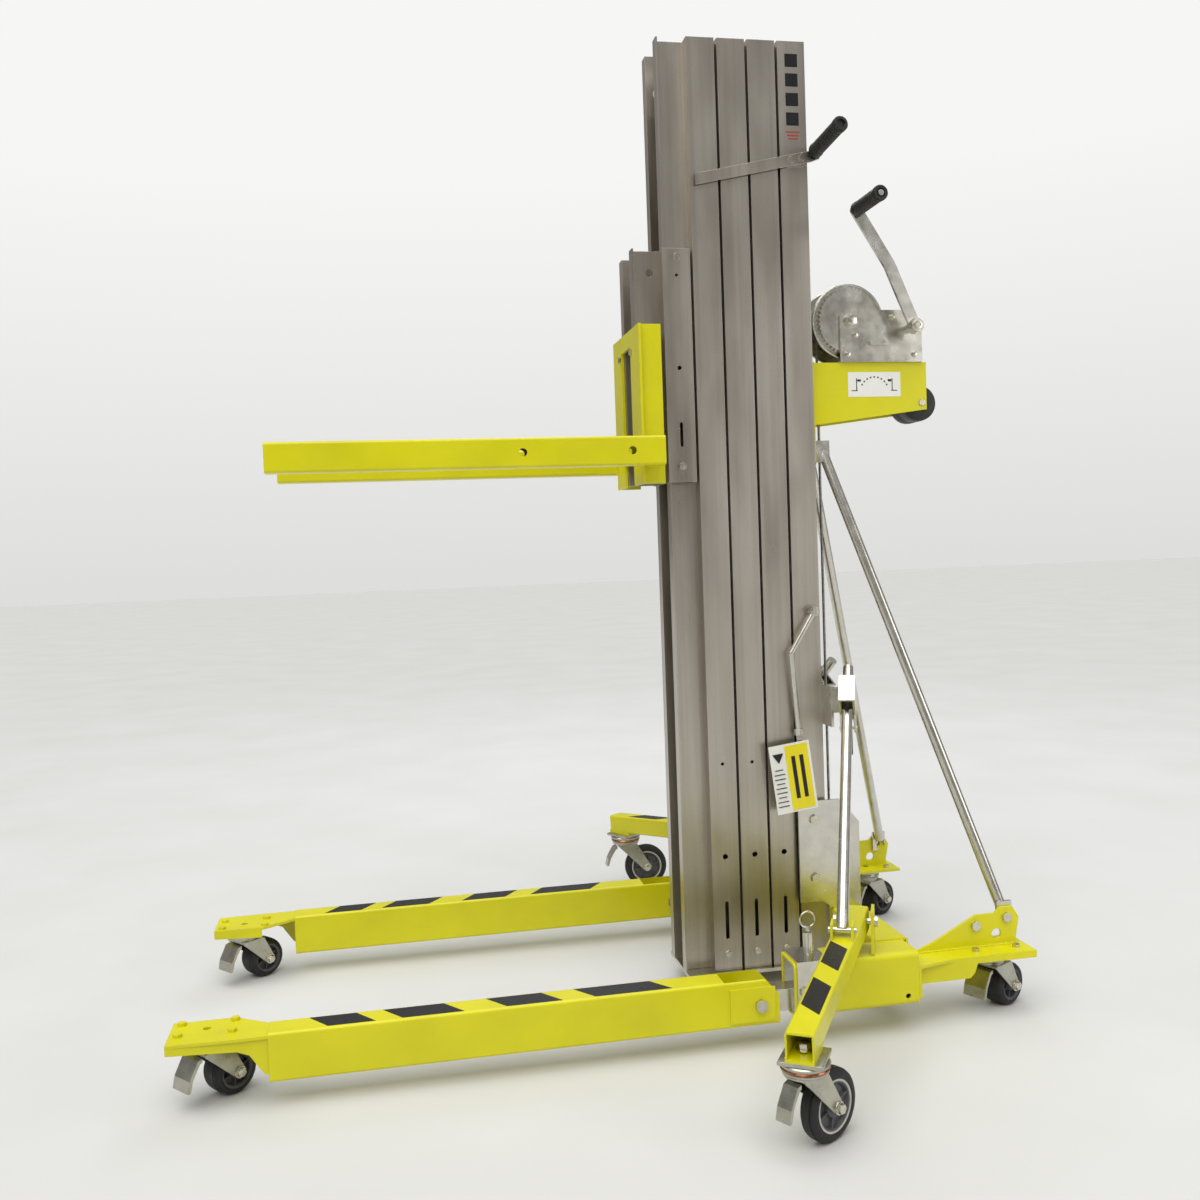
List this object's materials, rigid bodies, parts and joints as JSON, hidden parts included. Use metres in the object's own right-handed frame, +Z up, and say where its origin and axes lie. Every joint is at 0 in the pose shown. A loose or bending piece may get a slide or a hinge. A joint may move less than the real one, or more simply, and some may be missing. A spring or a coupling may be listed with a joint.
{
  "type": "drywall lift",
  "caption": "Telescoping aluminium mast on a wheeled folding base with front forks on a carriage, a hand winch, braces and side outriggers.",
  "frame": {"origin": "on the floor below the centre of the lift's box at rest", "axes": "+X the way the forks point, +Y to the lift's left (the crank's side), +Z up"},
  "size_m": [1.437, 1.3638, 1.738],
  "materials": {
    "mast_aluminium": "mill-finish extruded",
    "yellow_paint": "powder coat",
    "zinc_steel": "zinc plated",
    "bolt_steel": "zinc plated",
    "black_grip": "moulded",
    "cable_steel": "galvanised strand",
    "sheave_nylon": "moulded nylon",
    "roller_rubber": "moulded",
    "caster_zinc": "bright zinc plated",
    "caster_tyre": "rubber tread"
  },
  "bodies": {
    "base": {"mast_section_4": "mast_aluminium", "cross_beam": "yellow_paint", "mast_foot": "zinc_steel", "side_rails": "yellow_paint", "leg_brackets": "zinc_steel", "hinge_bolts": "bolt_steel", "rear_caster_plates": "yellow_paint", "rear_braces": "zinc_steel", "winch_bracket": "yellow_paint", "winch_side_plates": "zinc_steel", "winch_axles": "bolt_steel", "winch_cable": "cable_steel", "strut_lock": "zinc_steel", "upper_handle": "mast_aluminium", "upper_grip": "black_grip", "base_bolts": "bolt_steel"},
    "mast_section_3": {"mast_section_3": "mast_aluminium"},
    "mast_section_2": {"mast_section_2": "mast_aluminium"},
    "mast_section_1": {"mast_section_1": "mast_aluminium"},
    "carriage": {"carriage_section": "mast_aluminium", "carriage_bolts": "bolt_steel", "fork_frame": "yellow_paint", "forks": "yellow_paint"},
    "lift_sheave": {"lift_sheave": "sheave_nylon"},
    "foot_sheave": {"foot_sheave": "sheave_nylon"},
    "winch_drum": {"winch_drum": "zinc_steel"},
    "crank": {"crank": "zinc_steel"},
    "crank_grip": {"crank_grip": "black_grip"},
    "idler_gear": {"idler_gear": "bolt_steel"},
    "ratchet_pawl": {"ratchet_pawl": "zinc_steel"},
    "transport_roller": {"transport_roller": "roller_rubber"},
    "hold_down_rod": {"hold_down_rod": "zinc_steel"},
    "front_leg_left": {"front_leg_left": "yellow_paint"},
    "leg_plunger_left": {"leg_plunger_left": "zinc_steel"},
    "outrigger_left": {"outrigger_left": "yellow_paint"},
    "strut_left": {"strut_left": "zinc_steel"},
    "release_lever_left": {"release_lever_left": "black_grip"},
    "caster_fork_front_left": {"caster_fork_front_left": "caster_zinc"},
    "caster_wheel_front_left": {"caster_wheel_front_left": "caster_tyre"},
    "caster_pedal_front_left": {"caster_pedal_front_left": "caster_zinc"},
    "caster_fork_rear_left": {"caster_fork_rear_left": "caster_zinc"},
    "caster_wheel_rear_left": {"caster_wheel_rear_left": "caster_tyre"},
    "caster_pedal_rear_left": {"caster_pedal_rear_left": "caster_zinc"},
    "caster_fork_outrigger_left": {"caster_fork_outrigger_left": "caster_zinc"},
    "caster_wheel_outrigger_left": {"caster_wheel_outrigger_left": "caster_tyre"},
    "caster_pedal_outrigger_left": {"caster_pedal_outrigger_left": "caster_zinc"},
    "front_leg_right": {"front_leg_right": "yellow_paint"},
    "leg_plunger_right": {"leg_plunger_right": "zinc_steel"},
    "outrigger_right": {"outrigger_right": "yellow_paint"},
    "strut_right": {"strut_right": "zinc_steel"},
    "release_lever_right": {"release_lever_right": "black_grip"},
    "caster_fork_front_right": {"caster_fork_front_right": "caster_zinc"},
    "caster_wheel_front_right": {"caster_wheel_front_right": "caster_tyre"},
    "caster_pedal_front_right": {"caster_pedal_front_right": "caster_zinc"},
    "caster_fork_rear_right": {"caster_fork_rear_right": "caster_zinc"},
    "caster_wheel_rear_right": {"caster_wheel_rear_right": "caster_tyre"},
    "caster_pedal_rear_right": {"caster_pedal_rear_right": "caster_zinc"},
    "caster_fork_outrigger_right": {"caster_fork_outrigger_right": "caster_zinc"},
    "caster_wheel_outrigger_right": {"caster_wheel_outrigger_right": "caster_tyre"},
    "caster_pedal_outrigger_right": {"caster_pedal_outrigger_right": "caster_zinc"}
  },
  "joints": [
    {"name": "section_3_slide", "type": "slide", "parent": "base", "child": "mast_section_3", "axis": [0, 0, 1], "range_m": [0, 1.2]},
    {"name": "section_2_slide", "type": "slide", "parent": "mast_section_3", "child": "mast_section_2", "axis": [0, 0, 1], "range_m": [0, 1.2]},
    {"name": "section_1_slide", "type": "slide", "parent": "mast_section_2", "child": "mast_section_1", "axis": [0, 0, 1], "range_m": [0, 1.2]},
    {"name": "crank_turn", "type": "hinge", "parent": "base", "child": "crank", "pos_m": [-0.62347, 0, 1.22], "axis": [0, 1, 0], "range_deg": [-1676.41, 4318.03]},
    {"name": "carriage_slide", "type": "slide", "parent": "mast_section_1", "child": "carriage", "axis": [0, 0, 1], "range_m": [-0.85, 0.33]},
    {"name": "drum_turn", "type": "hinge", "parent": "base", "child": "winch_drum", "pos_m": [-0.51247, 0, 1.237], "axis": [0, 1, 0], "range_deg": [-374.41, 964.38]},
    {"name": "idler_turn", "type": "hinge", "parent": "base", "child": "idler_gear", "pos_m": [-0.59179, 0, 1.22485], "axis": [0, 1, 0], "range_deg": [-3338.25, 1296.03]},
    {"name": "foot_sheave_turn", "type": "hinge", "parent": "base", "child": "foot_sheave", "pos_m": [-0.43957, 0, 0.118], "axis": [0, 1, 0], "range_deg": [-2213.7, 859.44]},
    {"name": "lift_sheave_turn", "type": "hinge", "parent": "mast_section_1", "child": "lift_sheave", "pos_m": [-0.18047, 0, 1.66], "axis": [0, 1, 0], "range_deg": [-2435.07, 945.38]},
    {"name": "crank_grip_spin", "type": "hinge", "parent": "crank", "child": "crank_grip", "pos_m": [-0.51347, 0, 1.43], "axis": [0, 1, 0], "continuous": true},
    {"name": "pawl_lift", "type": "hinge", "parent": "base", "child": "ratchet_pawl", "pos_m": [-0.57647, 0, 1.196], "axis": [0, -1, 0], "range_deg": [0, 25]},
    {"name": "roller_spin", "type": "hinge", "parent": "base", "child": "transport_roller", "pos_m": [-0.65447, 0, 1.084], "axis": [0, 1, 0], "continuous": true},
    {"name": "hold_down_swing", "type": "hinge", "parent": "base", "child": "hold_down_rod", "pos_m": [-0.41247, 0, 0.699], "axis": [0, -1, 0], "range_deg": [0, 90]},
    {"name": "front_leg_left_fold", "type": "hinge", "parent": "base", "child": "front_leg_left", "pos_m": [-0.20847, 0.29, 0.074], "axis": [0, -1, 0], "range_deg": [0, 90]},
    {"name": "leg_plunger_left_pull", "type": "slide", "parent": "base", "child": "leg_plunger_left", "axis": [0, 0, 1], "range_m": [0, 0.01]},
    {"name": "outrigger_left_fold", "type": "hinge", "parent": "base", "child": "outrigger_left", "pos_m": [-0.38847, 0.288, 0.188], "axis": [0.8988, -0.4383, 0], "range_deg": [0, 72]},
    {"name": "strut_left_hinge", "type": "hinge", "parent": "outrigger_left", "child": "strut_left", "pos_m": [-0.32313, 0.38952, 0.21049], "axis": [0.8988, -0.4383, 0], "range_deg": [-72, 0]},
    {"name": "release_lever_left_press", "type": "hinge", "parent": "base", "child": "release_lever_left", "pos_m": [-0.45915, 0.1106, 0.48394], "axis": [0.8988, -0.4383, 0], "range_deg": [-12, 12]},
    {"name": "swivel_front_left", "type": "hinge", "parent": "front_leg_left", "child": "caster_fork_front_left", "pos_m": [0.66453, 0.259, 0.107], "axis": [0, 0, 1], "continuous": true},
    {"name": "wheel_front_left_spin", "type": "hinge", "parent": "caster_fork_front_left", "child": "caster_wheel_front_left", "pos_m": [0.63695, 0.23586, 0.0375], "axis": [-0.6428, 0.766, 0], "continuous": true},
    {"name": "pedal_front_left_press", "type": "hinge", "parent": "caster_fork_front_left", "child": "caster_pedal_front_left", "pos_m": [0.68368, 0.27507, 0.075], "axis": [-0.6428, 0.766, 0], "range_deg": [0, 20]},
    {"name": "swivel_rear_left", "type": "hinge", "parent": "base", "child": "caster_fork_rear_left", "pos_m": [-0.64647, 0.262, 0.107], "axis": [0, 0, 1], "continuous": true},
    {"name": "wheel_rear_left_spin", "type": "hinge", "parent": "caster_fork_rear_left", "child": "caster_wheel_rear_left", "pos_m": [-0.67826, 0.2451, 0.0375], "axis": [-0.4695, 0.8829, 0], "continuous": true},
    {"name": "pedal_rear_left_press", "type": "hinge", "parent": "caster_fork_rear_left", "child": "caster_pedal_rear_left", "pos_m": [-0.6244, 0.27374, 0.075], "axis": [-0.4695, 0.8829, 0], "range_deg": [0, 20]},
    {"name": "swivel_outrigger_left", "type": "hinge", "parent": "outrigger_left", "child": "caster_fork_outrigger_left", "pos_m": [-0.16271, 0.63877, 0.13], "axis": [0, 0, 1], "continuous": true},
    {"name": "wheel_outrigger_left_spin", "type": "hinge", "parent": "caster_fork_outrigger_left", "child": "caster_wheel_outrigger_left", "pos_m": [-0.20385, 0.61405, 0.051], "axis": [-0.515, 0.8572, 0], "continuous": true},
    {"name": "pedal_outrigger_left_press", "type": "hinge", "parent": "caster_fork_outrigger_left", "child": "caster_pedal_outrigger_left", "pos_m": [-0.14128, 0.65165, 0.102], "axis": [-0.515, 0.8572, 0], "range_deg": [0, 20]},
    {"name": "front_leg_right_fold", "type": "hinge", "parent": "base", "child": "front_leg_right", "pos_m": [-0.20847, -0.29, 0.074], "axis": [0, -1, 0], "range_deg": [0, 90]},
    {"name": "leg_plunger_right_pull", "type": "slide", "parent": "base", "child": "leg_plunger_right", "axis": [0, 0, 1], "range_m": [0, 0.01]},
    {"name": "outrigger_right_fold", "type": "hinge", "parent": "base", "child": "outrigger_right", "pos_m": [-0.41447, -0.288, 0.188], "axis": [-0.8988, -0.4383, 0], "range_deg": [0, 72]},
    {"name": "strut_right_hinge", "type": "hinge", "parent": "outrigger_right", "child": "strut_right", "pos_m": [-0.34913, -0.38952, 0.21049], "axis": [-0.8988, -0.4383, 0], "range_deg": [-72, 0]},
    {"name": "release_lever_right_press", "type": "hinge", "parent": "base", "child": "release_lever_right", "pos_m": [-0.48516, -0.1106, 0.48394], "axis": [-0.8988, -0.4383, 0], "range_deg": [-12, 12]},
    {"name": "swivel_front_right", "type": "hinge", "parent": "front_leg_right", "child": "caster_fork_front_right", "pos_m": [0.66453, -0.259, 0.107], "axis": [0, 0, 1], "continuous": true},
    {"name": "wheel_front_right_spin", "type": "hinge", "parent": "caster_fork_front_right", "child": "caster_wheel_front_right", "pos_m": [0.63695, -0.28214, 0.0375], "axis": [-0.6428, 0.766, 0], "continuous": true},
    {"name": "pedal_front_right_press", "type": "hinge", "parent": "caster_fork_front_right", "child": "caster_pedal_front_right", "pos_m": [0.68368, -0.24293, 0.075], "axis": [-0.6428, 0.766, 0], "range_deg": [0, 20]},
    {"name": "swivel_rear_right", "type": "hinge", "parent": "base", "child": "caster_fork_rear_right", "pos_m": [-0.64647, -0.262, 0.107], "axis": [0, 0, 1], "continuous": true},
    {"name": "wheel_rear_right_spin", "type": "hinge", "parent": "caster_fork_rear_right", "child": "caster_wheel_rear_right", "pos_m": [-0.67826, -0.2789, 0.0375], "axis": [-0.4695, 0.8829, 0], "continuous": true},
    {"name": "pedal_rear_right_press", "type": "hinge", "parent": "caster_fork_rear_right", "child": "caster_pedal_rear_right", "pos_m": [-0.6244, -0.25026, 0.075], "axis": [-0.4695, 0.8829, 0], "range_deg": [0, 20]},
    {"name": "swivel_outrigger_right", "type": "hinge", "parent": "outrigger_right", "child": "caster_fork_outrigger_right", "pos_m": [-0.18871, -0.63877, 0.13], "axis": [0, 0, 1], "continuous": true},
    {"name": "wheel_outrigger_right_spin", "type": "hinge", "parent": "caster_fork_outrigger_right", "child": "caster_wheel_outrigger_right", "pos_m": [-0.23671, -0.63877, 0.051], "axis": [0, 1, 0], "continuous": true},
    {"name": "pedal_outrigger_right_press", "type": "hinge", "parent": "caster_fork_outrigger_right", "child": "caster_pedal_outrigger_right", "pos_m": [-0.16371, -0.63877, 0.102], "axis": [0, 1, 0], "range_deg": [0, 20]}
  ],
  "couplings": [
    {"joint": "carriage_slide", "follows": "crank_turn", "m_per_rad": -0.011222},
    {"joint": "drum_turn", "follows": "crank_turn", "ratio": 0.22222},
    {"joint": "idler_turn", "follows": "crank_turn", "ratio": -0.76923},
    {"joint": "foot_sheave_turn", "follows": "crank_turn", "ratio": -0.5101},
    {"joint": "lift_sheave_turn", "follows": "crank_turn", "ratio": -0.56111},
    {"joint": "strut_left_hinge", "follows": "outrigger_left_fold", "ratio": -0.985},
    {"joint": "strut_right_hinge", "follows": "outrigger_right_fold", "ratio": -0.985}
  ]
}
